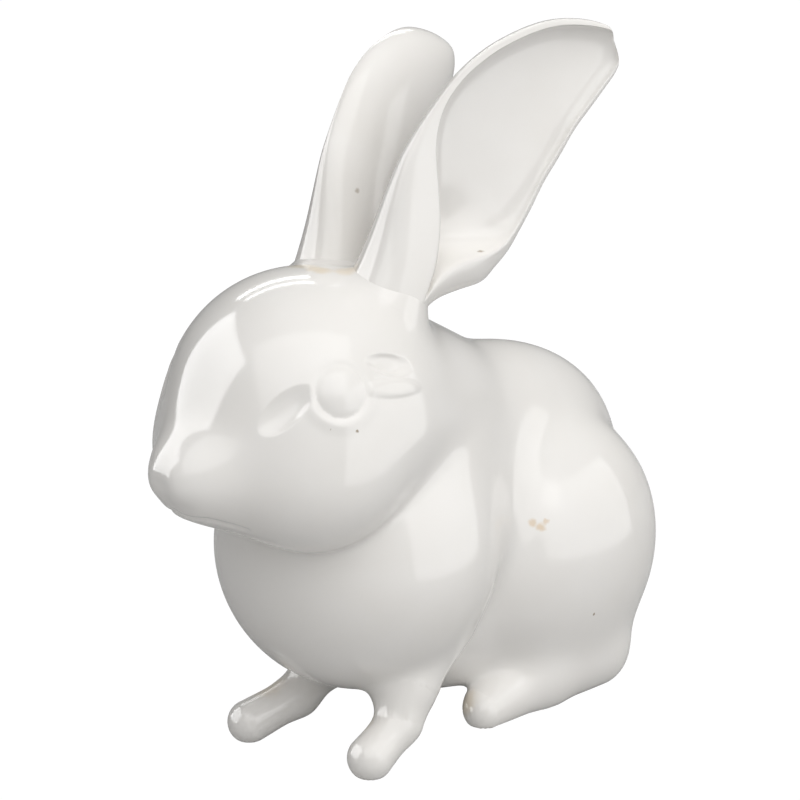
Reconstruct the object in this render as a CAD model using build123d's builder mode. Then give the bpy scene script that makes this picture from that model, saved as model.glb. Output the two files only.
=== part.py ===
"""Slip-cast ceramic rabbit, crouching with its ears up, as the castings that are luted together.

Millimetres. The rabbit looks along -Y, its left side is +X, and it stands on Z = 0.
"""
from build123d import *
import math
import os

# Clay: wall of the hollow castings, the film of slip that joins two castings, and its clearance below
wall = 5.0
seam = 0.6
bed = 0.2

# Torso: a round chest, a long back and two haunches that melt into each other
chest_y = -22.0
chest_half_width = 52.0
chest_half_length = 49.0
chest_half_height = 53.0
back_behind_chest = 51.0
back_above_chest = 2.0
back_half_width = 40.0
back_half_length = 82.0
back_half_height = 66.0
nape_behind_chest = 9.0
nape_above_chest = 48.0
nape_half_width = 36.0
nape_half_length = 52.0
nape_half_height = 36.0
haunch_spread = 25.0
haunch_behind_chest = 82.0
haunch_below_chest = 16.0
haunch_half_width = 30.0
haunch_half_length = 45.0
haunch_half_height = 46.0
torso_softness = 14.0
belly_height = 12.0
belly_flat = 4.0
drain_hole = 10.0
air_hole = 6.0

# Head: a round skull with full cheeks and a short muzzle
skull_before_chest = 25.0
skull_above_chest = 63.0
skull_half_width = 47.0
skull_half_length = 50.0
skull_half_height = 47.0
cheek_spread = 20.0
cheek_before_skull = 10.0
cheek_below_skull = 18.0
cheek_half_width = 27.0
cheek_half_length = 33.0
cheek_half_height = 28.0
muzzle_before_skull = 36.0
muzzle_below_skull = 11.0
muzzle_half_width = 23.0
muzzle_half_length = 31.0
muzzle_half_height = 23.0
head_softness = 22.0

# Ears: a round stem that opens into a spoon, and the places they are set at
ear_stem_radius = 14.5
ear_half_width = 29.0
ear_rear_fullness = 4.0
ear_depth = 11.5
ear_wall = 4.0
ear_rim = 2.5
ear_lip = 8.0
ear_opening_share = 0.10
ear_opened_share = 0.30
ear_blade_share = 0.38
ear_tip_share = 0.50
ear_tip_fullness = 1.5
ear_root_spread = 15.0
ear_root_behind_skull = 23.0
ear_root_depth = 13.0
ear_turned_forward = 5.5
ear_left_outward = 27.5
ear_left_backward = 90.0
ear_left_upward = 92.0
ear_right_outward = 21.0
ear_right_backward = 83.0
ear_right_upward = 77.0
ear_bow_backward = 4.5
ear_bow_upward = 32.0

# Forelegs: short tapered legs on small round paws, the right one set further forward
foreleg_root_spread = 22.0
foreleg_root_radius = 12.5
foreleg_root_behind_chest = 16.0
left_ankle_spread = 29.0
right_ankle_spread = 21.0
ankle_radius = 9.5
ankle_height = 16.0
paw_half_width = 10.0
paw_half_height = 8.5
paw_half_length = 12.0
paw_before_ankle = 5.0
left_ankle_before_chest = 16.0
right_ankle_before_chest = 21.0
sole_flat = 1.0

# Hind feet: long low wedges under the haunches
heel_spread = 40.0
toe_spread = 30.0
heel_behind_haunch = 18.0
foot_length = 69.0
heel_half_width = 13.0
toe_half_width = 10.0
heel_above_belly = 22.0
toe_height = 11.0
foot_fullness = 4

# Tail: a small round scut low on the rump
tail_below_haunch = 10.0
tail_half_width = 13.0
tail_half_length = 13.0
tail_half_height = 15.0
tail_showing = 11.0

# Fineness of the lofted skins
levels = 10
directions = 16
halvings = 14
midline_steps = 100
ear_stations = 12
foot_stations = 8
round_stations = 7

os.makedirs("parts", exist_ok=True)

under = (Align.CENTER, Align.CENTER, Align.MAX)
steps_both_ways = range(-midline_steps, midline_steps + 1)
haunch_z = belly_height - belly_flat + haunch_half_height
chest_z = haunch_z + haunch_below_chest
heel_height = belly_height + heel_above_belly
tail_z = haunch_z - tail_below_haunch
back_y = chest_y + back_behind_chest
haunch_y = chest_y + haunch_behind_chest
skull_y = chest_y - skull_before_chest
skull_z = chest_z + skull_above_chest
cheek_y = skull_y - cheek_before_skull
cheek_z = skull_z - cheek_below_skull
muzzle_y = skull_y - muzzle_before_skull
muzzle_z = skull_z - muzzle_below_skull
torso_lobes = [
    ((0, chest_y, chest_z), (chest_half_width, chest_half_length, chest_half_height)),
    ((0, back_y, chest_z + back_above_chest), (back_half_width, back_half_length, back_half_height)),
    (
        (0, chest_y + nape_behind_chest, chest_z + nape_above_chest),
        (nape_half_width, nape_half_length, nape_half_height),
    ),
    (
        (haunch_spread, haunch_y, haunch_z),
        (haunch_half_width, haunch_half_length, haunch_half_height),
    ),
]
head_lobes = [
    ((0, skull_y, skull_z), (skull_half_width, skull_half_length, skull_half_height)),
    ((cheek_spread, cheek_y, cheek_z), (cheek_half_width, cheek_half_length, cheek_half_height)),
    ((0, muzzle_y, muzzle_z), (muzzle_half_width, muzzle_half_length, muzzle_half_height)),
]


def lobe_distance(point, lobe):
    """About how far a point lies outside an ellipsoid lobe, negative inside it."""
    centre, radii = lobe
    offset = [p - c for p, c in zip(point, centre)]
    reach = math.hypot(*[o / r for o, r in zip(offset, radii)])
    slope = math.hypot(*[o / r**2 for o, r in zip(offset, radii)])
    if slope == 0:
        return -min(radii)
    return reach * (reach - 1) / slope


def skin_distance(point, lobes, softness):
    """Distance to the skin over several lobes, which melt together over the softness."""
    x, y, z = point
    mirrored = (abs(x), y, z)
    total = lobe_distance(mirrored, lobes[0])
    for lobe in lobes[1:]:
        other = lobe_distance(mirrored, lobe)
        overlap = max(softness - abs(total - other), 0) / softness
        total = min(total, other) - overlap**3 * softness / 6
    return total


def crossing(inside, outside, is_inside):
    """Point on the skin on the way from an inside point to an outside point."""
    near, far = 0.0, 1.0
    for halving in range(halvings):
        middle = (near + far) / 2
        if is_inside([a + (b - a) * middle for a, b in zip(inside, outside)]):
            near = middle
        else:
            far = middle
    return [a + (b - a) * near for a, b in zip(inside, outside)]


def closer_at_ends(low, high, count):
    """Places between low and high, closer together at both ends, as suits a round form."""
    middle, half = (low + high) / 2, (high - low) / 2
    return [middle - half * math.cos(math.pi * (i + 0.5) / count) for i in range(count)]


def middle_of(points, is_inside):
    """Middle of the points of a line that lie inside."""
    kept = [point for point in points if is_inside(point)]
    return [(a + b) / 2 for a, b in zip(kept[0], kept[-1])]


def outline_around(centre, across, up, span, is_inside):
    """Closed outline in the plane through a centre, found by walking outwards all round."""
    outline = []
    for step in range(directions):
        angle = 2 * math.pi * step / directions
        along = [math.cos(angle) * a + math.sin(angle) * u for a, u in zip(across, up)]
        outline.append(crossing(centre, [c + span * d for c, d in zip(centre, along)], is_inside))
    return outline


def torso_form(growth):
    """Solid torso, grown outwards (inwards if negative), flat under the belly."""
    span = back_half_length + back_half_length
    nape = (0, chest_y + nape_behind_chest, chest_z + nape_above_chest)

    def is_inside(point):
        return skin_distance(point, torso_lobes, torso_softness) < growth

    top = crossing(nape, (nape[0], nape[1], nape[2] + span), is_inside)[2]
    bottom = belly_height - growth
    with BuildPart() as form:
        for height in [bottom] + closer_at_ends(bottom, top, levels):
            midline = [(0, back_y + span * step / midline_steps, height) for step in steps_both_ways]
            centre = middle_of(midline, is_inside)
            outline = outline_around(centre, (1, 0, 0), (0, 1, 0), span, is_inside)
            with BuildSketch(Plane.XY.offset(height)):
                with BuildLine():
                    Spline(*[(x, y) for x, y, z in outline], periodic=True)
                make_face()
        loft()
    return form.part


def head_form(growth):
    """Solid head from the tip of the nose to the back of the skull, grown as the torso is."""
    span = skull_half_length + skull_half_length

    def is_inside(point):
        return skin_distance(point, head_lobes, head_softness) < growth

    front = crossing((0, muzzle_y, muzzle_z), (0, muzzle_y - span, muzzle_z), is_inside)[1]
    rear = crossing((0, skull_y, skull_z), (0, skull_y + span, skull_z), is_inside)[1]
    with BuildPart() as form:
        for place in closer_at_ends(front, rear, levels):
            midline = [(0, place, skull_z + span * step / midline_steps) for step in steps_both_ways]
            centre = middle_of(midline, is_inside)
            outline = outline_around(centre, (1, 0, 0), (0, 0, 1), span, is_inside)
            with BuildSketch(Plane.XZ.offset(-place)):
                with BuildLine():
                    Spline(*[(x, z) for x, y, z in outline], periodic=True)
                make_face()
        loft()
    return form.part


def smooth_step(share):
    """Soft rise from 0 to 1 as the share goes from 0 to 1."""
    share = min(max(share, 0), 1)
    return share * share * (3 - 2 * share)


def round_end(share, fullness=2):
    """Rounded end, full up to share 0 and closed at share 1, a quarter circle at fullness 2."""
    return max(1 - max(share, 0) ** fullness, 0) ** (1 / fullness)


def egg(front_width, rear_width, behind, before, side, shift=0):
    """Closed outline, as wide to its front and rear, and as deep behind and before its middle, as given."""
    outline = []
    for step in range(directions):
        angle = 2 * math.pi * step / directions
        width = front_width if side * math.cos(angle) > 0 else rear_width
        depth = before if math.sin(angle) > 0 else behind
        outline.append((width * math.cos(angle), depth * math.sin(angle) + shift))
    return outline


def ear_axis(side, outward, backward, upward):
    """Root, bowed middle and tip of an ear."""
    aside = ear_root_spread / skull_half_width
    behind = ear_root_behind_skull / skull_half_length
    crown = skull_z + skull_half_height * math.sqrt(1 - aside**2 - behind**2)
    root = Vector(side * ear_root_spread, skull_y + ear_root_behind_skull, crown - ear_root_depth)
    tip = root + Vector(side * outward, backward, upward)
    bow = Vector(0, ear_bow_backward, ear_bow_upward)
    return root, (root + tip) / 2 + bow, tip


def ear_plane(axis, side, share):
    """Plane across the ear, its Y towards the open side of the spoon."""
    root, middle, tip = axis
    place = root * (1 - share) ** 2 + middle * (2 * share * (1 - share)) + tip * share**2
    along = ((middle - root) * (1 - share) + (tip - middle) * share).normalized()
    turn = math.radians(ear_turned_forward)
    facing = Vector(side * math.cos(turn), -math.sin(turn), 0)
    facing = (facing - along * facing.dot(along)).normalized()
    return Plane(origin=place, x_dir=facing.cross(along), z_dir=along)


def ear_size(share):
    """Front and rear width, depth and front of the ear, from its round stem through the blade to the tip."""
    spread = smooth_step(share / ear_blade_share)
    closing = round_end((share - ear_tip_share) / (1 - ear_tip_share), ear_tip_fullness)
    front_width = ear_stem_radius + (ear_half_width - ear_stem_radius) * spread
    rear_width = front_width + ear_rear_fullness * spread
    depth = ear_stem_radius + (ear_depth - ear_stem_radius) * spread
    front = ear_stem_radius + (ear_rim - ear_stem_radius) * spread
    return [size * closing for size in (front_width, rear_width, depth, front)]


def ear_bud(axis, side):
    """The ear before it is scooped out."""
    with BuildPart() as form:
        for share in closer_at_ends(0, 1, ear_stations):
            front_width, rear_width, depth, front = ear_size(share)
            with BuildSketch(ear_plane(axis, side, share)):
                with BuildLine():
                    Spline(*egg(front_width, rear_width, depth, front, side), periodic=True)
                make_face()
        loft()
    return form.part


def ear_scoop(axis, side):
    """What the spoon of the ear is hollowed out by; it dips in at the stem and out at the tip."""
    last = 1 - ear_wall / (axis[2] - axis[0]).length
    with BuildPart() as form:
        for share in closer_at_ends(ear_opening_share, last, ear_stations):
            front_width, rear_width, depth, front = ear_size(share)
            opened = smooth_step((share - ear_opening_share) / (ear_opened_share - ear_opening_share))
            dip = opened * round_end((share - ear_tip_share) / (last - ear_tip_share), ear_tip_fullness)
            floor = (front + depth - ear_wall) * dip - ear_rim * (1 - dip)
            reaches = []
            for width in (front_width, rear_width):
                reaches.append(ear_rim + max(width - ear_wall - ear_rim, 0) * math.sqrt(dip))
            scoop = egg(*reaches, ear_lip + floor, ear_lip, side, front + ear_lip)
            with BuildSketch(ear_plane(axis, side, share)):
                with BuildLine():
                    Spline(*scoop, periodic=True)
                make_face()
        loft()
    return form.part


def limb(stations):
    """Skin over ellipses set along a limb: place, direction, half width and half height of each."""
    with BuildPart() as form:
        for place, along, half_width, half_height in stations:
            with BuildSketch(Plane(origin=place, x_dir=(1, 0, 0), z_dir=along)):
                Ellipse(half_width, half_height)
        loft()
    return form.part


def foreleg_form(side, ankle_spread, ankle_before_chest):
    """A tapered leg that starts inside the chest and stands in its round paw."""
    root_y = chest_y + foreleg_root_behind_chest
    root = Vector(side * foreleg_root_spread, root_y, chest_z - chest_half_height / 2)
    ankle = Vector(side * ankle_spread, chest_y - ankle_before_chest, ankle_height)
    paw = Vector(ankle.X, ankle.Y - paw_before_ankle, paw_half_height - sole_flat)
    leg = []
    for place, radius in ((root, foreleg_root_radius), (ankle, ankle_radius), (paw, paw_half_height / 2)):
        leg.append((place, (ankle - root).normalized(), radius, radius))
    paw_stations = []
    for share in closer_at_ends(-1, 1, round_stations):
        rounding = round_end(abs(share))
        place = paw + Vector(0, share * paw_half_length, 0)
        paw_stations.append((place, Vector(0, 1, 0), paw_half_width * rounding, paw_half_height * rounding))
    with BuildPart() as form:
        add(limb(leg))
        add(limb(paw_stations))
        with Locations((paw.X, paw.Y, 0)):
            Box(4 * paw_half_width, 4 * paw_half_length, paw_half_height, align=under, mode=Mode.SUBTRACT)
    return form.part


def foot_form(side):
    """A long foot, high and round at the heel and wedged down to the toes."""
    heel = Vector(side * heel_spread, haunch_y + heel_behind_haunch, 0)
    toe = heel + Vector(side * (toe_spread - heel_spread), -foot_length, 0)
    stations = []
    for share in closer_at_ends(0, 1, foot_stations):
        rounding = round_end(abs(2 * share - 1), foot_fullness)
        half_width = (heel_half_width + (toe_half_width - heel_half_width) * share) * rounding
        half_height = (heel_height + (toe_height - heel_height) * share) / 2 * rounding
        place = heel + (toe - heel) * share + Vector(0, 0, half_height - sole_flat)
        stations.append((place, (toe - heel).normalized(), half_width, half_height))
    with BuildPart() as form:
        add(limb(stations))
        with Locations(((heel + toe) / 2)):
            Box(4 * heel_half_width, 2 * foot_length, heel_height, align=under, mode=Mode.SUBTRACT)
    return form.part


def tail_form():
    """A round scut sunk into the rump."""
    rump = crossing((0, back_y, tail_z), (0, back_y + back_half_length * 2, tail_z), in_torso)[1]
    centre = rump + tail_showing - tail_half_length
    stations = []
    for share in closer_at_ends(-1, 1, round_stations):
        rounding = round_end(abs(share))
        place = Vector(0, centre + share * tail_half_length, tail_z)
        stations.append((place, Vector(0, 1, 0), tail_half_width * rounding, tail_half_height * rounding))
    return limb(stations)


def in_torso(point):
    """Whether a point lies inside the torso."""
    return skin_distance(point, torso_lobes, torso_softness) < 0


# The bare forms, and the torso and head grown to the underside and to the top of the slip films on them
torso_outer = torso_form(0)
torso_inner = torso_form(-wall)
torso_bedded = torso_form(bed)
torso_slipped = torso_form(bed + seam)
head_outer = head_form(0)
head_inner = head_form(-wall)
head_bedded = head_form(bed)
head_slipped = head_form(bed + seam)

# Torso: hollow, drained through the belly, with an air hole up into the head
nape_centre = Vector(0, chest_y + nape_behind_chest, chest_z + nape_above_chest)
to_head = Vector(0, skull_y, skull_z) - nape_centre
with BuildPart() as torso_shell:
    add(torso_outer)
    add(torso_inner, mode=Mode.SUBTRACT)
    with Locations((0, haunch_y, belly_height)):
        Cylinder(drain_hole / 2, 4 * wall, mode=Mode.SUBTRACT)
    with BuildSketch(Plane(origin=nape_centre, x_dir=(1, 0, 0), z_dir=to_head)):
        Circle(air_hole / 2)
    extrude(amount=to_head.length, mode=Mode.SUBTRACT)
torso_shell.part.label = "torso_shell"
export_step(torso_shell.part, "parts/torso_shell.step")

# Head: a hollow bowl whose rim sits on the shoulders
with BuildPart() as head_shell:
    add(head_outer)
    add(head_inner, mode=Mode.SUBTRACT)
    add(torso_slipped, mode=Mode.SUBTRACT)
head_shell.part.label = "head_shell"
export_step(head_shell.part, "parts/head_shell.step")

with BuildPart() as neck_seam:
    add(head_outer)
    add(head_inner, mode=Mode.SUBTRACT)
    add(torso_bedded, mode=Mode.SUBTRACT)
    add(head_shell.part, mode=Mode.SUBTRACT)
neck_seam.part.label = "neck_seam"
export_step(neck_seam.part, "parts/neck_seam.step")


def lute(name, form, bedded, slipped):
    """Cut a solid casting to the casting that carries it and fill the space between them with slip."""
    with BuildPart() as casting:
        add(form)
        add(slipped, mode=Mode.SUBTRACT)
    casting.part.label = name
    export_step(casting.part, f"parts/{name}.step")

    with BuildPart() as film:
        add(form)
        add(bedded, mode=Mode.SUBTRACT)
        add(casting.part, mode=Mode.SUBTRACT)
    film.part.label = f"{name}_seam"
    export_step(film.part, f"parts/{name}_seam.step")


left_ear = ear_axis(1, ear_left_outward, ear_left_backward, ear_left_upward)
right_ear = ear_axis(-1, ear_right_outward, ear_right_backward, ear_right_upward)
for name, side, axis in (("ear_left", 1, left_ear), ("ear_right", -1, right_ear)):
    with BuildPart() as ear:
        add(ear_bud(axis, side))
        add(ear_scoop(axis, side), mode=Mode.SUBTRACT)
    lute(name, ear.part, head_bedded, head_slipped)

left_leg = foreleg_form(1, left_ankle_spread, left_ankle_before_chest)
right_leg = foreleg_form(-1, right_ankle_spread, right_ankle_before_chest)
lute("foreleg_left", left_leg, torso_bedded, torso_slipped)
lute("foreleg_right", right_leg, torso_bedded, torso_slipped)
lute("hind_foot_left", foot_form(1), torso_bedded, torso_slipped)
lute("hind_foot_right", foot_form(-1), torso_bedded, torso_slipped)
lute("tail", tail_form(), torso_bedded, torso_slipped)
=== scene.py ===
"""Looks, light and camera of a white glazed ceramic rabbit, built around its castings.

Places and sizes are in millimetres. The rabbit looks along -Y, its left side is +X, and it stands on Z = 0.
"""
import math

import bpy
import numpy as np
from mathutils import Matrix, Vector


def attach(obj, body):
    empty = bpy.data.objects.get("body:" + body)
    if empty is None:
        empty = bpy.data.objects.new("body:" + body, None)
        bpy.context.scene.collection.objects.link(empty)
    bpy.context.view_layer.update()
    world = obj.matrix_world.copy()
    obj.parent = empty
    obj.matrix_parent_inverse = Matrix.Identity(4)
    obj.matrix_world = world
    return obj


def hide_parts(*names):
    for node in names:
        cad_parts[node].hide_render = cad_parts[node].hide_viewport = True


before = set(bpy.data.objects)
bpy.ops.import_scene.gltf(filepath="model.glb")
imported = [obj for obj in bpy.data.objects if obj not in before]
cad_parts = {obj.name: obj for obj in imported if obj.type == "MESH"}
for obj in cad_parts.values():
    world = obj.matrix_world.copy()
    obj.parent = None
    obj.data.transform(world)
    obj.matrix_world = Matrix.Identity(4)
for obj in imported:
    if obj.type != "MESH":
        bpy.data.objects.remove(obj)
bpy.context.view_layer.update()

# A millimetre in metres, and the least that a distance is divided by
MM = 0.001
tiny = 1e-9

# Camera: where it looks from and at, in degrees and millimetres, and what the picture's width shows there
camera_azimuth = 45
camera_elevation = 18
camera_distance = 1200
camera_target = (-0.8, 2.2, 121.5)
picture_width = 288
sensor_width = 36

# Round lobes of the castings in millimetres: centre and half sizes, the ones off the midline mirrored
chest = ((0, -21, 72.5), (53, 49.5, 52))
back = ((0, 28, 79), (34, 83, 57))
belly = ((0, 28, 41), (30, 70, 34))
nape = ((0, -13, 118), (36, 52, 36))
haunch = ((24, 61, 57), (29.5, 43.5, 48))
skull = ((0, -46.5, 133), (46, 49.5, 47))
cheek = ((20, -57, 115), (27, 33, 28))
muzzle = ((0, -74, 118.2), (23, 39.5, 21.5))
scut = ((0, 101, 44), (13, 13, 15))
belly_height = 8

# Limbs: places along the middle of each one, with its radius there; the hind foot is the left one
foreleg_left = [
    ((25, -10, 46), 15),
    ((29, -25.5, 27), 11),
    ((32.5, -31.5, 16), 7.2),
    ((32.5, -46, 7), 8.3),
]
foreleg_right = [
    ((-16, -3, 46), 13.5),
    ((-16, -20, 24), 9.6),
    ((-17, -34.5, 13), 7.2),
    ((-21.5, -54.5, 7), 8),
]
hind_foot = [
    ((31, 71.5, 14.2), 14),
    ((29, 45, 11), 12),
    ((29, 16, 5), 7.5),
]

# How far the clay is smoothed over the crease between two forms; two of them go from one softness at a
# height to another softness at a greater height
torso_softness = 18
chest_softness = ((50, 8), (100, 34))
head_softness = 20
neck_softness = ((98, 4), (132, 30))
limb_softness = 8
root_softness = 9
foot_softness = 20
tail_softness = 5
ear_root_softness = 14
belly_softness = 6
sole_softness = 1.5

# Face, on the left side: the eye, the leaf-shaped hollow before it and the corner behind it; the right side
# has a shallower copy of them
eye_place = (39.8, -66, 149.5)
eye_radius = 9
eye_bulge = 1.9
eye_groove_width = 1.5
eye_groove_depth = 0.3
lid_radius = 11.4
lid_width = 2.6
lid_height = 0.65
lid_upper_share = 0.3
tear_hollow = ((25.5, -92.5, 136.5), (36, -74.5, 153))
tear_half_width = 6
tear_depth = 2.3
corner_hollow = ((39, -55, 157.5), (42, -33, 151))
corner_half_width = 4.2
corner_depth = 1.6
corner_ridge = ((43, -61, 149.5), (43.8, -30, 144))
corner_ridge_half_width = 4
corner_ridge_height = 0.8
leaf_edge = 0.5
right_side_share = 0.4

# Nose and mouth: the cleft on the midline, a pit on each side of it and the line of the lips
cleft = ((0, -114, 117), (0, -110, 108))
cleft_half_width = 4.2
cleft_depth = 1.4
nose_pit = (6, -109, 109)
nose_pit_radius = 4.5
nose_pit_depth = 0.7
lips = ((0, -106, 107.5), (10, -101, 105), (17, -90, 100))
lips_half_width = 1.4
lips_depth = 0.7

# Ears: root, bow and tip of their middle lines, the sizes of stem, blade, pocket and fold, and the stub on
# the head, with shares of the ear's length for places along it
ear_left_line = ((15, -28.5, 158.9), (28.75, 25.5, 236.9), (42.5, 66, 250.9))
ear_right_line = ((-14.2, -22.8, 158.9), (-24.8, 22.7, 229.4), (-37.5, 57.5, 235.5))
ear_length = 140
ear_turned_forward = 5.5
ear_stem_radius = 14.5
ear_depth = 11.5
ear_front = 2.5
ear_pocket_wall = 3
ear_blade_wall = 6
ear_flat_behind_share = 0.38
ear_flat_before_share = 0.50
ear_opening_share = 0.1
ear_opened_share = 0.17
ear_tip_roundness = 6
ear_fold_share = 0.225
ear_fold_across = -6
ear_fold_radius = 3.5
ear_fold_height = 2.5
ear_least_width = 0.01
ear_stub = ((0, 14), (0.05, 13.4), (0.12, 10.5))

# Stations along an ear, as shares of its length: how far its front and rear margins and the front and rear
# rims of its pocket stand from its middle line, the rear ones measured to the rear
ear_stations = np.array([
    (0.00, 14.5, 14.5, -4, 4),
    (0.10, 17, 15, -4, 5),
    (0.16, 20, 25, -3, 7),
    (0.20, 22.5, 32, 0, 12),
    (0.25, 25.5, 34, 5, 22),
    (0.30, 28, 35, 12, 29),
    (0.36, 29.5, 34, 21, 30.5),
    (0.43, 30.6, 32, 27, 29),
    (0.50, 31.3, 29.2, 28.8, 26.5),
    (0.60, 29.8, 26.2, 27.3, 23.5),
    (0.70, 26, 22.5, 23.5, 20),
    (0.80, 21.2, 20, 18.7, 17.5),
    (0.90, 14.5, 17.3, 12, 14.8),
    (1.00, 7, 15, 5, 12.5),
])

# Fineness of the body's skin in millimetres and of the balls it starts from, and how often it is smoothed
# and drawn onto the clay
skin_grain = 1.2
ball_segments = 48
ball_rings = 32
balls_per_stretch = 6
smoothing = 0.5
skin_smoothings = 8
skin_draws = 4

# Step over which the slope of the clay is felt, and the least square of it that a move onto it divides by
slope_step = 0.1
least_squared_slope = 0.05

# How far the open border of a casting is turned inwards, and how many widths round the modelling of the
# face the skin is made finer
border_turned_in = 4
fine_lid_widths = 3
fine_half_widths = 2

# Fineness of an ear's skin: rings along it, points round each ring, smoothing, and the gap that is welded
ear_steps = 96
ear_back_points = 40
ear_edge_points = 14
ear_pocket_points = 28
ear_smoothings = 3
ear_subdivisions = 1
ear_weld_gap = 0.02

# Glaze: its two whites and the width of the clouds they lie in, its shine, and the bare clay that shows
# under the soles up to a height in millimetres
glaze_white = "#EAE8E5"
glaze_shade = "#E3E0DB"
glaze_cloud_width = 30
glaze_cloud_detail = 2
glaze_roughness = 0.12
glaze_ior = 1.52
bare_clay = "#E6DCCB"
bare_clay_roughness = 0.8
bare_clay_below = 0.4

# Marks in the glaze where it runs thin, at iron specks, and of painted shade: place, radius, colour and
# strength
# tan of thin glaze, also used as painted shade on the left hind toe
thin_glaze_and_painted_shade = "#DCC8A4"
iron_speck = "#86704E"
blemish = "#CDB085"
glaze_marks = [
    ((-5, -41, 180), 7, thin_glaze_and_painted_shade, 0.5),
    ((3, -41, 180), 6, thin_glaze_and_painted_shade, 0.6),
    ((9, -34, 178), 6, thin_glaze_and_painted_shade, 0.45),
    ((-21, -44, 13), 10, thin_glaze_and_painted_shade, 0.35),
    ((25, -40, 14), 8, thin_glaze_and_painted_shade, 0.35),
    ((26.7, -51.4, 6), 2.4, iron_speck, 0.35),
    ((34.2, -50.3, 1.5), 2, iron_speck, 0.5),
    ((43.1, 27.5, 79), 2.2, blemish, 0.55),
    ((43.1, 30.5, 76.8), 2.4, blemish, 0.6),
    ((43.1, 33, 78.3), 1.4, blemish, 0.5),
    # painted shade: tan on the edge of the left hind toe, where it meets the shadowed gap under the belly
    ((26, 12, 8), 7, thin_glaze_and_painted_shade, 0.4),
    ((45.8, -64.3, 136.2), 0.9, iron_speck, 0.8),
    ((41.9, -72.7, 137.9), 0.5, iron_speck, 0.6),
    ((52.7, 51.4, 38.8), 0.9, iron_speck, 0.8),
    ((26.5, 14.9, 179.8), 1.6, iron_speck, 0.6),
    ((-9.2, -11.2, 200), 1.5, iron_speck, 0.5),
]

# How far and how closely a mark's edge is ragged, the share of its radius that is full, how near to the
# body a mark lies that is drawn onto it, in how many steps, and the middle of the noise behind the rags
mark_ragged = 2.5
mark_ragged_every = 3
mark_core = 0.3
mark_reach = 6
mark_draws = 6
noise_middle = (0.5, 0.5, 0.5)

# White paper ground and surround: how they light the rabbit, and how white the camera sees them
ground_width = 6000
paper_grey = "#BABABA"
paper_roughness = 0.9
paper_white = "#FFFFFF"
paper_white_strength = 1.04
paper_white_share = 0.97
surround_strength = 0.3
surround_seen_strength = 1

# Softboxes facing the rabbit: azimuth and elevation in degrees, distance, width and height in millimetres,
# and radiance; the first ones are mirrored in the glaze, the others light the clay under it
softbox_distance = 1300
card_distance = 330
mirrored_softboxes = {
    "softbox_left": (-48, 22, softbox_distance, 1500, 1300, 4.6),
    "card_right": (115, 3, card_distance, 460, 270, 1.5),
    "softbox_high": (55, 48, softbox_distance, 2000, 1380, 1.3),
    "strip_low": (-128, 36, softbox_distance, 1100, 90, 8),
    "strip_high": (-128, 46, softbox_distance, 1100, 70, 7),
}
lighting_softboxes = {
    "lamp_front": (65, 42, softbox_distance, 1800, 1500, 1.25),
    "lamp_top": (110, 58, softbox_distance, 1800, 1800, 1.1),
    "lamp_left": (-25, 40, softbox_distance, 1400, 1400, 0.2),
}


def to_metres(values):
    """Millimetres as metres."""
    return [value * MM for value in values]


def smooth_step(share):
    """Soft rise from 0 to 1 as the share goes from 0 to 1."""
    share = np.clip(share, 0, 1)
    return share * share * (3 - 2 * share)


def dome(share):
    """Round swelling, 1 at share 0 and gone at share 1."""
    return np.sqrt(np.maximum(1 - share ** 2, 0))


def soft_bump(share):
    """Bell, 1 at share 0 and all but gone at share 2."""
    return np.exp(-share ** 2)


def folded(points):
    """Points of the right side laid on the left side."""
    return np.abs(points) * (1, 0, 0) + points * (0, 1, 1)


def soft_union(first, second, softness):
    """Distance to two forms at once, with the crease between them melted by a cubic over the softness."""
    overlap = np.maximum(softness - np.abs(first - second), 0) / softness
    return np.minimum(first, second) - overlap ** 3 * softness / 6


def softness_at(points, softness):
    """Softness at points: the same everywhere, or rising from one height to another."""
    if isinstance(softness, tuple):
        (low, low_softness), (high, high_softness) = softness
        risen = smooth_step((points[:, 2] - low) / (high - low))
        return low_softness + (high_softness - low_softness) * risen
    return softness


def lobe_distance(points, lobe):
    """Distance of points to a round lobe, negative inside."""
    centre, half = (np.array(values, float) for values in lobe)
    offset = points - centre
    reach = np.linalg.norm(offset / half, axis=1)
    slope = np.linalg.norm(offset / half ** 2, axis=1)
    return reach * (reach - 1) / np.maximum(slope, tiny)


def from_stretch(points, start, end):
    """Share of a straight stretch that is nearest to each point, and the point's distance from there."""
    start = np.array(start, float)
    along = np.array(end, float) - start
    share = np.clip((points - start) @ along / (along @ along), 0, 1)
    return share, np.linalg.norm(points - start - share[:, None] * along, axis=1)


def line_distance(points, line):
    """Distance of points to a line through places."""
    return np.min([from_stretch(points, start, end)[1] for start, end in zip(line, line[1:])], axis=0)


def limb_distance(points, stations):
    """Distance of points to a round limb through places with radii."""
    total = None
    for (start, start_radius), (end, end_radius) in zip(stations, stations[1:]):
        share, away = from_stretch(points, start, end)
        stretch = away - (start_radius + (end_radius - start_radius) * share)
        total = stretch if total is None else soft_union(total, stretch, limb_softness)
    return total


def standing_distance(points, stations):
    """Distance to a limb that stands on the ground, flat under its sole."""
    return -soft_union(-limb_distance(points, stations), points[:, 2], sole_softness)


def torso_distance(points):
    """Distance to the torso: chest, back, belly, nape and haunches, flat under the belly."""
    halves = folded(points)
    total = lobe_distance(halves, back)
    for lobe in (belly, nape, haunch):
        total = soft_union(total, lobe_distance(halves, lobe), torso_softness)
    total = soft_union(total, lobe_distance(halves, chest), softness_at(points, chest_softness))
    return -soft_union(-total, points[:, 2] - belly_height, belly_softness)


def leaf(points, line, half_width):
    """Share of a leaf-shaped hollow or ridge: all of it on its flat middle, none past its oval edge."""
    start, end = (np.array(place, float) for place in line)
    along = end - start
    share = (points - start) @ along / (along @ along)
    across = np.linalg.norm(points - start - share[:, None] * along, axis=1)
    return smooth_step((1 - np.hypot(2 * share - 1, across / half_width)) / leaf_edge)


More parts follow.
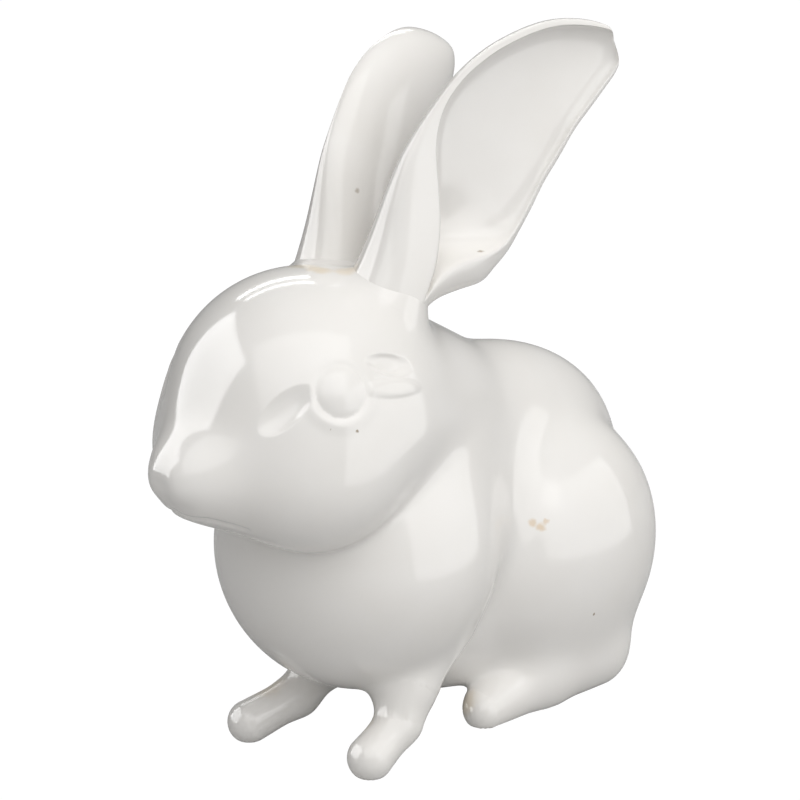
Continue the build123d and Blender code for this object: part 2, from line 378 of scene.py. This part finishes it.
def eye_relief(points):
    """How far the eye with its lids, the hollow before it and the corner behind it stand out of the head."""
    halves = folded(points)
    from_eye = np.linalg.norm(halves - eye_place, axis=1)
    outside_eye = np.clip((from_eye - eye_radius) / lid_width, 0, 1)
    tear = leaf(halves, tear_hollow, tear_half_width)
    corner = leaf(halves, corner_hollow, corner_half_width)
    ridge = leaf(halves, corner_ridge, corner_ridge_half_width)
    relief = eye_bulge * np.maximum(1 - (from_eye / eye_radius) ** 2, 0)
    relief -= eye_groove_depth * soft_bump((from_eye - eye_radius) / eye_groove_width)
    lower = smooth_step(0.5 + (eye_place[2] - points[:, 2]) / (2 * lid_radius))
    lid = lid_height * (lid_upper_share + (1 - lid_upper_share) * lower)
    relief += lid * soft_bump((from_eye - lid_radius) / lid_width)
    relief -= outside_eye * (tear_depth * tear + corner_depth * corner)
    relief += outside_eye * corner_ridge_height * ridge
    return relief * np.where(points[:, 0] > 0, 1, right_side_share)


def face_relief(points):
    """How far the modelling of the face stands out of the head, negative in hollows."""
    halves = folded(points)
    relief = eye_relief(points)
    relief -= cleft_depth * soft_bump(line_distance(halves, cleft) / cleft_half_width)
    relief -= nose_pit_depth * soft_bump(np.linalg.norm(halves - nose_pit, axis=1) / nose_pit_radius)
    relief -= lips_depth * soft_bump(line_distance(halves, lips) / lips_half_width)
    return relief


def on_ear_line(line, share):
    """Place on an ear's middle line, a smooth bow from its root to its tip."""
    root, bow, tip = (np.array(place, float) for place in line)
    share = np.asarray(share, float)[..., None]
    return root * (1 - share) ** 2 + bow * 2 * share * (1 - share) + tip * share ** 2


def stub_distance(points, line):
    """Distance to the stub that an ear stands on."""
    return limb_distance(points, [(on_ear_line(line, share), radius) for share, radius in ear_stub])


def head_distance(points):
    """Distance to the head with its face and the clay drawn up round the ear roots."""
    halves = folded(points)
    total = lobe_distance(halves, skull)
    for lobe in (cheek, muzzle):
        total = soft_union(total, lobe_distance(halves, lobe), head_softness)
    total = total - face_relief(points)
    for line in (ear_left_line, ear_right_line):
        total = soft_union(total, stub_distance(points, line), ear_root_softness)
    return total


# Castings that the body is parted into, how softly each one is luted to the torso, and the frame's own names
# for casting and seam where they differ
castings = {
    "torso": torso_distance,
    "head": head_distance,
    "foreleg_left": lambda points: standing_distance(points, foreleg_left),
    "foreleg_right": lambda points: standing_distance(points, foreleg_right),
    "hind_foot_left": lambda points: standing_distance(points, hind_foot),
    "hind_foot_right": lambda points: standing_distance(points * (-1, 1, 1), hind_foot),
    "tail": lambda points: lobe_distance(points, scut),
}
joint_softness = {
    "head": neck_softness,
    "foreleg_left": root_softness,
    "foreleg_right": root_softness,
    "hind_foot_left": foot_softness,
    "hind_foot_right": foot_softness,
    "tail": tail_softness,
}
casting_nodes = {"torso": "torso_shell", "head": "head_shell"}
seam_nodes = {"head": "neck_seam"}


def clay_distance(points):
    """Distance to the whole rabbit without its ears, all castings luted together."""
    total = castings["torso"](points)
    for name, softness in joint_softness.items():
        total = soft_union(total, castings[name](points), softness_at(points, softness))
    return total


def clay_slope(points):
    """Direction in which the distance to the clay grows."""
    slope = np.empty_like(points)
    for axis in range(3):
        step = np.zeros(3)
        step[axis] = slope_step
        slope[:, axis] = clay_distance(points + step) - clay_distance(points - step)
    return slope / (2 * slope_step)


def clay_normal(points):
    """The slope of the clay at a length of 1."""
    slope = clay_slope(points)
    return slope / np.linalg.norm(slope, axis=1, keepdims=True)


def onto_clay(places, rounds):
    """Places moved onto the clay, step by step."""
    for turn in range(rounds):
        slope = clay_slope(places)
        squared_slope = np.maximum((slope ** 2).sum(1), least_squared_slope)
        places = places - slope * (clay_distance(places) / squared_slope)[:, None]
    return places


def vertex_places(piece):
    """Vertices of a mesh in millimetres."""
    places = np.empty(len(piece.data.vertices) * 3)
    piece.data.vertices.foreach_get("co", places)
    return places.reshape(-1, 3) / MM


def put_vertices(piece, places):
    """Move the vertices of a mesh to places in millimetres."""
    piece.data.vertices.foreach_set("co", (places * MM).ravel())
    piece.data.update()


def select_only(*pieces):
    """Make these pieces the selected ones, the first of them active."""
    bpy.ops.object.select_all(action="DESELECT")
    for piece in pieces:
        piece.select_set(True)
    bpy.context.view_layer.objects.active = pieces[0]


def apply_modifier(piece, kind, **settings):
    """Add a modifier and apply it."""
    modifier = piece.modifiers.new(kind.lower(), kind)
    for name, value in settings.items():
        setattr(modifier, name, value)
    select_only(piece)
    bpy.ops.object.modifier_apply(modifier=modifier.name)


def add_ball(centre, half):
    """A ball of clay, pressed to its half sizes."""
    bpy.ops.object.select_all(action="DESELECT")
    bpy.ops.mesh.primitive_uv_sphere_add(
        segments=ball_segments,
        ring_count=ball_rings,
        radius=1,
        location=to_metres(centre),
        scale=to_metres(half),
    )
    return bpy.context.object


def add_rough_body():
    """Balls of clay for all lobes, limbs and ear stubs, joined in one mesh."""
    balls = []
    for centre, half in (chest, back, belly, nape, haunch, skull, cheek, muzzle, scut):
        balls.append(add_ball(centre, half))
        if centre[0]:
            balls.append(add_ball((-centre[0], *centre[1:]), half))
    other_foot = [((-x, y, z), radius) for (x, y, z), radius in hind_foot]
    for stations in (foreleg_left, foreleg_right, hind_foot, other_foot):
        for (start, start_radius), (end, end_radius) in zip(stations, stations[1:]):
            for share in np.linspace(0, 1, balls_per_stretch):
                radius = start_radius + (end_radius - start_radius) * share
                centre = np.array(start) * (1 - share) + np.array(end) * share
                balls.append(add_ball(centre, (radius, radius, radius)))
    for line in (ear_left_line, ear_right_line):
        for share, radius in ear_stub:
            balls.append(add_ball(on_ear_line(line, share), (radius, radius, radius)))
    select_only(*balls)
    bpy.ops.object.join()
    bpy.ops.object.transform_apply(location=True, rotation=True, scale=True)
    return bpy.context.object


def skin_over(body):
    """Replace a mesh by one even skin over it, a little smoothed."""
    apply_modifier(body, "REMESH", mode="VOXEL", voxel_size=skin_grain * MM)
    apply_modifier(body, "SMOOTH", factor=smoothing, iterations=skin_smoothings)


def draw_onto_clay(skin):
    """Draw a rough skin onto the clay."""
    put_vertices(skin, onto_clay(vertex_places(skin), skin_draws))


def near_the_face(places):
    """Which places lie close to the modelling of the face."""
    halves = folded(places)
    from_eye = np.linalg.norm(halves - eye_place, axis=1)
    near_eye = from_eye < lid_radius + fine_lid_widths * lid_width
    near_tear = line_distance(halves, tear_hollow) < fine_half_widths * tear_half_width
    corner_line = (*corner_hollow, *corner_ridge)
    near_corner = line_distance(halves, corner_line) < fine_half_widths * corner_half_width
    near_nose = line_distance(halves, (*cleft, *lips)) < fine_half_widths * cleft_half_width
    return near_eye | near_tear | near_corner | near_nose


def model_body():
    """The rabbit without its ears as one smooth skin, skinned twice to lose folds, finer over the face."""
    skin = add_rough_body()
    skin_over(skin)
    draw_onto_clay(skin)
    skin_over(skin)
    bpy.ops.object.mode_set(mode="EDIT")
    bpy.ops.mesh.select_mode(type="VERT")
    bpy.ops.mesh.select_all(action="DESELECT")
    bpy.ops.object.mode_set(mode="OBJECT")
    skin.data.vertices.foreach_set("select", near_the_face(vertex_places(skin)))
    bpy.ops.object.mode_set(mode="EDIT")
    bpy.ops.mesh.select_mode(type="FACE")
    bpy.ops.mesh.subdivide(number_cuts=1)
    bpy.ops.object.mode_set(mode="OBJECT")
    draw_onto_clay(skin)
    return skin


def close_inside(piece):
    """Turn the open border of a piece inwards and close it there, out of sight."""
    select_only(piece)
    bpy.ops.object.mode_set(mode="EDIT")
    bpy.ops.mesh.select_mode(type="EDGE")
    bpy.ops.mesh.select_all(action="DESELECT")
    bpy.ops.mesh.select_non_manifold(
        extend=False, use_wire=False, use_multi_face=False, use_non_contiguous=False, use_verts=False
    )
    bpy.ops.mesh.extrude_region()
    bpy.ops.object.mode_set(mode="OBJECT")
    border = np.empty(len(piece.data.vertices), bool)
    piece.data.vertices.foreach_get("select", border)
    places = vertex_places(piece)
    places[border] -= clay_normal(places[border]) * border_turned_in
    put_vertices(piece, places)
    bpy.ops.object.mode_set(mode="EDIT")
    bpy.ops.mesh.fill_holes(sides=0)
    bpy.ops.mesh.select_all(action="SELECT")
    bpy.ops.mesh.normals_make_consistent(inside=False)
    bpy.ops.object.mode_set(mode="OBJECT")


def part_at_seams(skin):
    """Separate the skin where one casting meets the next, as pieces by the castings' names."""
    names = list(castings)
    centres = np.empty(len(skin.data.polygons) * 3)
    skin.data.polygons.foreach_get("center", centres)
    centres = centres.reshape(-1, 3) / MM
    nearest = np.argmin([castings[name](centres) for name in names], axis=0)
    for name in names:
        skin.data.materials.append(bpy.data.materials.new(name))
    skin.data.polygons.foreach_set("material_index", nearest.astype(np.int32))
    select_only(skin)
    bpy.ops.object.mode_set(mode="EDIT")
    bpy.ops.mesh.separate(type="MATERIAL")
    bpy.ops.object.mode_set(mode="OBJECT")
    pieces = {}
    for piece in list(bpy.context.selected_objects):
        marker = piece.data.materials[piece.data.polygons[0].material_index]
        pieces[marker.name] = piece
    return pieces


def model_castings():
    """The body's castings, each a closed piece, shaded as one smooth surface over the seams."""
    pieces = part_at_seams(model_body())
    for name, piece in pieces.items():
        piece.name = name + "_glazed"
        piece.data.name = piece.name
        piece.data.materials.clear()
        close_inside(piece)
        bpy.ops.object.shade_smooth()
        piece.data.normals_split_custom_set_from_vertices(clay_normal(vertex_places(piece)))
    return pieces


def along_ear(share):
    """Margins and rims of an ear at a share of its length, on smooth curves through its stations."""
    shares, sizes = ear_stations[:, 0], ear_stations[:, 1:]
    slopes = np.gradient(sizes, shares, axis=0)
    before = int(np.clip(np.searchsorted(shares, share) - 1, 0, len(shares) - 2))
    gap = shares[before + 1] - shares[before]
    step = (share - shares[before]) / gap
    settled = smooth_step(step)
    leaving = gap * step * (1 - step) ** 2
    arriving = gap * step ** 2 * (step - 1)
    level = sizes[before] * (1 - settled) + sizes[before + 1] * settled
    return level + slopes[before] * leaving + slopes[before + 1] * arriving


def ear_section(share):
    """Outline across an ear, as (towards its front margin, towards its open side) in millimetres."""
    closing = (1 - share ** ear_tip_roundness) ** (1 / ear_tip_roundness)
    front, rear, front_rim, rear_rim = along_ear(share) * closing
    flat_behind = smooth_step(share / ear_flat_behind_share)
    flat_before = smooth_step(share / ear_flat_before_share)
    behind = (ear_stem_radius + (ear_depth - ear_stem_radius) * flat_behind) * closing
    before = (ear_stem_radius + (ear_front - ear_stem_radius) * flat_before) * closing
    opened = smooth_step((share - ear_opening_share) / (ear_opened_share - ear_opening_share))
    flattened = smooth_step((share - ear_opened_share) / (ear_flat_before_share - ear_opened_share))
    wall = ear_pocket_wall + (ear_blade_wall - ear_pocket_wall) * flattened
    pocket = max(before + behind - wall, 0) * opened
    fold = ear_fold_height * opened * soft_bump((share - ear_fold_share) * ear_length / ear_fold_radius)
    widths = {True: max(front, ear_least_width), False: max(rear, ear_least_width)}

    def lip(across):
        return before * float(dome(across / widths[across > 0]))

    outline = []
    for angle in np.linspace(0, math.pi, ear_back_points):
        outline.append((widths[math.cos(angle) > 0] * math.cos(angle), -behind * math.sin(angle)))
    for angle in np.linspace(0, math.pi / 2, ear_edge_points + 1)[1:]:
        across = -rear + (rear - rear_rim) * (1 - math.cos(angle))
        outline.append((across, lip(across)))
    middle, half = (front_rim - rear_rim) / 2, (front_rim + rear_rim) / 2
    for angle in np.linspace(0, math.pi, ear_pocket_points + 2)[1:-1]:
        across = middle - half * math.cos(angle)
        bump = fold * soft_bump((across - ear_fold_across) / ear_fold_radius)
        outline.append((across, lip(across) - pocket * math.sin(angle) + bump))
    for angle in np.linspace(math.pi / 2, 0, ear_edge_points + 1)[:-1]:
        across = front - (front - front_rim) * (1 - math.cos(angle))
        outline.append((across, lip(across)))
    return outline


def ear_rings(line, side):
    """Rings of places round an ear from its root to its tip, closer together at both ends."""
    shares = (1 - np.cos(np.linspace(0, math.pi, ear_steps))) / 2
    shares = (shares + np.linspace(0, 1, ear_steps)) / 2
    root, bow, tip = (np.array(place, float) for place in line)
    turn = math.radians(ear_turned_forward)
    open_side = np.array((side * math.cos(turn), -math.sin(turn), 0))
    rings = []
    for share in shares:
        along = (bow - root) * (1 - share) + (tip - bow) * share
        along /= np.linalg.norm(along)
        facing = open_side - along * (open_side @ along)
        facing /= np.linalg.norm(facing)
        front = np.cross(facing, along) * side
        place = on_ear_line(line, share)
        rings.append([place + front * across + facing * out for across, out in ear_section(share)])
    return np.array(rings)


def model_ear(name, line, side):
    """A spoon-shaped ear on a round stem, rolled up from a flat grid."""
    rings = ear_rings(line, side)
    around = rings.shape[1]
    rings = np.concatenate((rings, rings[:, :1]), axis=1)
    bpy.ops.object.select_all(action="DESELECT")
    bpy.ops.mesh.primitive_grid_add(x_subdivisions=around, y_subdivisions=ear_steps - 1, size=1)
    ear = bpy.context.object
    ear.name = name
    ear.data.name = name
    put_vertices(ear, rings.reshape(-1, 3))
    bpy.ops.object.mode_set(mode="EDIT")
    bpy.ops.mesh.select_all(action="SELECT")
    bpy.ops.mesh.remove_doubles(threshold=ear_weld_gap * MM)
    bpy.ops.mesh.select_non_manifold(extend=False)
    bpy.ops.mesh.fill_holes(sides=0)
    bpy.ops.mesh.select_all(action="SELECT")
    bpy.ops.mesh.normals_make_consistent(inside=False)
    bpy.ops.object.mode_set(mode="OBJECT")
    apply_modifier(ear, "SMOOTH", factor=smoothing, iterations=ear_smoothings)
    apply_modifier(ear, "SUBSURF", levels=ear_subdivisions, render_levels=ear_subdivisions)
    bpy.ops.object.shade_smooth()
    return ear


def linear(hex_colour):
    """sRGB hex colour as linear red, green, blue and alpha."""
    parts = [int(hex_colour[i:i + 2], 16) / 255 for i in (1, 3, 5)]
    return [p / 12.92 if p <= 0.04045 else ((p + 0.055) / 1.055) ** 2.4 for p in parts] + [1]


def add_node(tree, kind, links=None, **settings):
    """Add a shader node with its settings, its input values and what its inputs come from."""
    node = tree.nodes.new(kind)
    for name, value in settings.items():
        setattr(node, name, value)
    for name, value in (links or {}).items():
        if isinstance(value, bpy.types.NodeSocket):
            tree.links.new(value, node.inputs[name])
        else:
            node.inputs[name].default_value = value
    return node


def add_mark(tree, colour, place, mark):
    """Lay a soft round mark of another colour over a colour."""
    centre, radius, tint, strength = mark
    centre = np.array([centre], float)
    if clay_distance(centre)[0] < mark_reach:
        centre = onto_clay(centre, mark_draws)
    away = add_node(tree, "ShaderNodeVectorMath", {
        0: place,
        1: to_metres(centre[0]),
    }, operation="DISTANCE")
    cover = add_node(tree, "ShaderNodeMapRange", {
        "Value": away.outputs["Value"],
        "From Min": radius * mark_core * MM,
        "From Max": radius * MM,
        "To Min": strength,
        "To Max": 0,
    }, interpolation_type="SMOOTHSTEP")
    mixed = add_node(tree, "ShaderNodeMixRGB", {
        "Fac": cover.outputs["Result"],
        "Color1": colour,
        "Color2": linear(tint),
    })
    return mixed.outputs["Color"]


def white_glaze():
    """White earthenware under a clear glossy glaze: warm white, mirror-smooth, tan where it runs thin and as
    painted shade on a hind toe.
    """
    material = bpy.data.materials.new("white_glazed_earthenware")
    material.use_nodes = True
    tree = material.node_tree
    shader = tree.nodes["Principled BSDF"]
    place = add_node(tree, "ShaderNodeTexCoord").outputs["Object"]
    cloud = add_node(tree, "ShaderNodeTexNoise", {
        "Vector": place,
        "Scale": 1 / (glaze_cloud_width * MM),
        "Detail": glaze_cloud_detail,
    })
    tone = add_node(tree, "ShaderNodeMixRGB", {
        "Fac": cloud.outputs["Fac"],
        "Color1": linear(glaze_white),
        "Color2": linear(glaze_shade),
    })
    colour = tone.outputs["Color"]
    rags = add_node(tree, "ShaderNodeTexNoise", {"Vector": place, "Scale": 1 / (mark_ragged_every * MM)})
    shift = add_node(tree, "ShaderNodeVectorMath", {
        0: rags.outputs["Color"],
        1: noise_middle,
    }, operation="SUBTRACT")
    ragged = add_node(tree, "ShaderNodeVectorMath", {
        0: shift.outputs["Vector"],
        1: [mark_ragged * MM] * 3,
        2: place,
    }, operation="MULTIPLY_ADD")
    for mark in glaze_marks:
        colour = add_mark(tree, colour, ragged.outputs["Vector"], mark)
    height = add_node(tree, "ShaderNodeSeparateXYZ", {"Vector": place}).outputs["Z"]
    bare = add_node(tree, "ShaderNodeMath", {0: height, 1: bare_clay_below * MM}, operation="LESS_THAN")
    sole = add_node(tree, "ShaderNodeMixRGB", {
        "Fac": bare.outputs[0],
        "Color1": colour,
        "Color2": linear(bare_clay),
    })
    gloss = add_node(tree, "ShaderNodeMapRange", {
        "Value": bare.outputs[0],
        "To Min": glaze_roughness,
        "To Max": bare_clay_roughness,
    })
    tree.links.new(sole.outputs["Color"], shader.inputs["Base Color"])
    tree.links.new(gloss.outputs["Result"], shader.inputs["Roughness"])
    shader.inputs["IOR"].default_value = glaze_ior
    return material


def white_paper():
    """Matt background paper: it throws a little light back, and the camera sees it as pure white."""
    material = bpy.data.materials.new("white_paper")
    material.use_nodes = True
    tree = material.node_tree
    shader = tree.nodes["Principled BSDF"]
    shader.inputs["Base Color"].default_value = linear(paper_grey)
    shader.inputs["Roughness"].default_value = paper_roughness
    seen = add_node(tree, "ShaderNodeLightPath").outputs["Is Camera Ray"]
    glow = add_node(tree, "ShaderNodeEmission", {
        "Color": linear(paper_white),
        "Strength": paper_white_strength,
    })
    share = add_node(tree, "ShaderNodeMath", {0: seen, 1: paper_white_share}, operation="MULTIPLY")
    both = add_node(tree, "ShaderNodeMixShader", {
        0: share.outputs[0],
        1: shader.outputs[0],
        2: glow.outputs[0],
    })
    tree.links.new(both.outputs[0], tree.nodes["Material Output"].inputs["Surface"])
    return material


def add_facing_target(name, data, azimuth, elevation, distance):
    """Put a camera or lamp at an azimuth, elevation and distance from the target, facing it."""
    thing = bpy.data.objects.new(name, data)
    bpy.context.scene.collection.objects.link(thing)
    azimuth, elevation = math.radians(azimuth), math.radians(elevation)
    direction = Vector((
        math.sin(azimuth) * math.cos(elevation),
        -math.cos(azimuth) * math.cos(elevation),
        math.sin(elevation),
    ))
    target = Vector(to_metres(camera_target))
    thing.location = target + direction * distance * MM
    thing.rotation_euler = (target - thing.location).to_track_quat("-Z", "Y").to_euler()
    return thing


def add_softbox(name, azimuth, elevation, distance, width, height, radiance, mirrored):
    """A rectangular softbox that faces the rabbit, either mirrored in the glaze or lighting the clay."""
    lamp = bpy.data.lights.new(name, "AREA")
    lamp.shape = "RECTANGLE"
    lamp.size = width * MM
    lamp.size_y = height * MM
    lamp.energy = radiance * math.pi * lamp.size * lamp.size_y
    softbox = add_facing_target(name, lamp, azimuth, elevation, distance)
    softbox.visible_diffuse = not mirrored
    softbox.visible_glossy = mirrored
    softbox.visible_camera = False


def add_camera():
    """The photograph's view."""
    view = bpy.data.cameras.new("camera")
    view.sensor_width = sensor_width
    view.lens = sensor_width * camera_distance / picture_width
    camera = add_facing_target("camera", view, camera_azimuth, camera_elevation, camera_distance)
    bpy.context.scene.camera = camera


def add_studio():
    """White paper ground, a white surround and the softboxes."""
    bpy.ops.object.select_all(action="DESELECT")
    bpy.ops.mesh.primitive_plane_add(size=ground_width * MM)
    ground = bpy.context.object
    ground.name = "ground"
    ground.data.materials.append(white_paper())

    world = bpy.data.worlds.new("studio")
    world.use_nodes = True
    bpy.context.scene.world = world
    tree = world.node_tree
    seen = add_node(tree, "ShaderNodeLightPath").outputs["Is Camera Ray"]
    strength = add_node(tree, "ShaderNodeMapRange", {
        "Value": seen,
        "To Min": surround_strength,
        "To Max": surround_seen_strength,
    })
    tree.links.new(strength.outputs[0], tree.nodes["Background"].inputs["Strength"])
    tree.nodes["Background"].inputs["Color"].default_value = linear(paper_white)

    for name, setting in mirrored_softboxes.items():
        add_softbox(name, *setting, mirrored=True)
    for name, setting in lighting_softboxes.items():
        add_softbox(name, *setting, mirrored=False)


bpy.context.scene.view_settings.view_transform = "Standard"
add_camera()
add_studio()

glaze = white_glaze()
pieces = model_castings()
pieces["ear_left"] = model_ear("ear_left_glazed", ear_left_line, 1)
pieces["ear_right"] = model_ear("ear_right_glazed", ear_right_line, -1)
for name, piece in pieces.items():
    piece.data.materials.append(glaze)
    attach(piece, "root")
    node = casting_nodes.get(name, name)
    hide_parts(node)
    seam = seam_nodes.get(name, name + "_seam")
    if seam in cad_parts:
        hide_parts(seam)
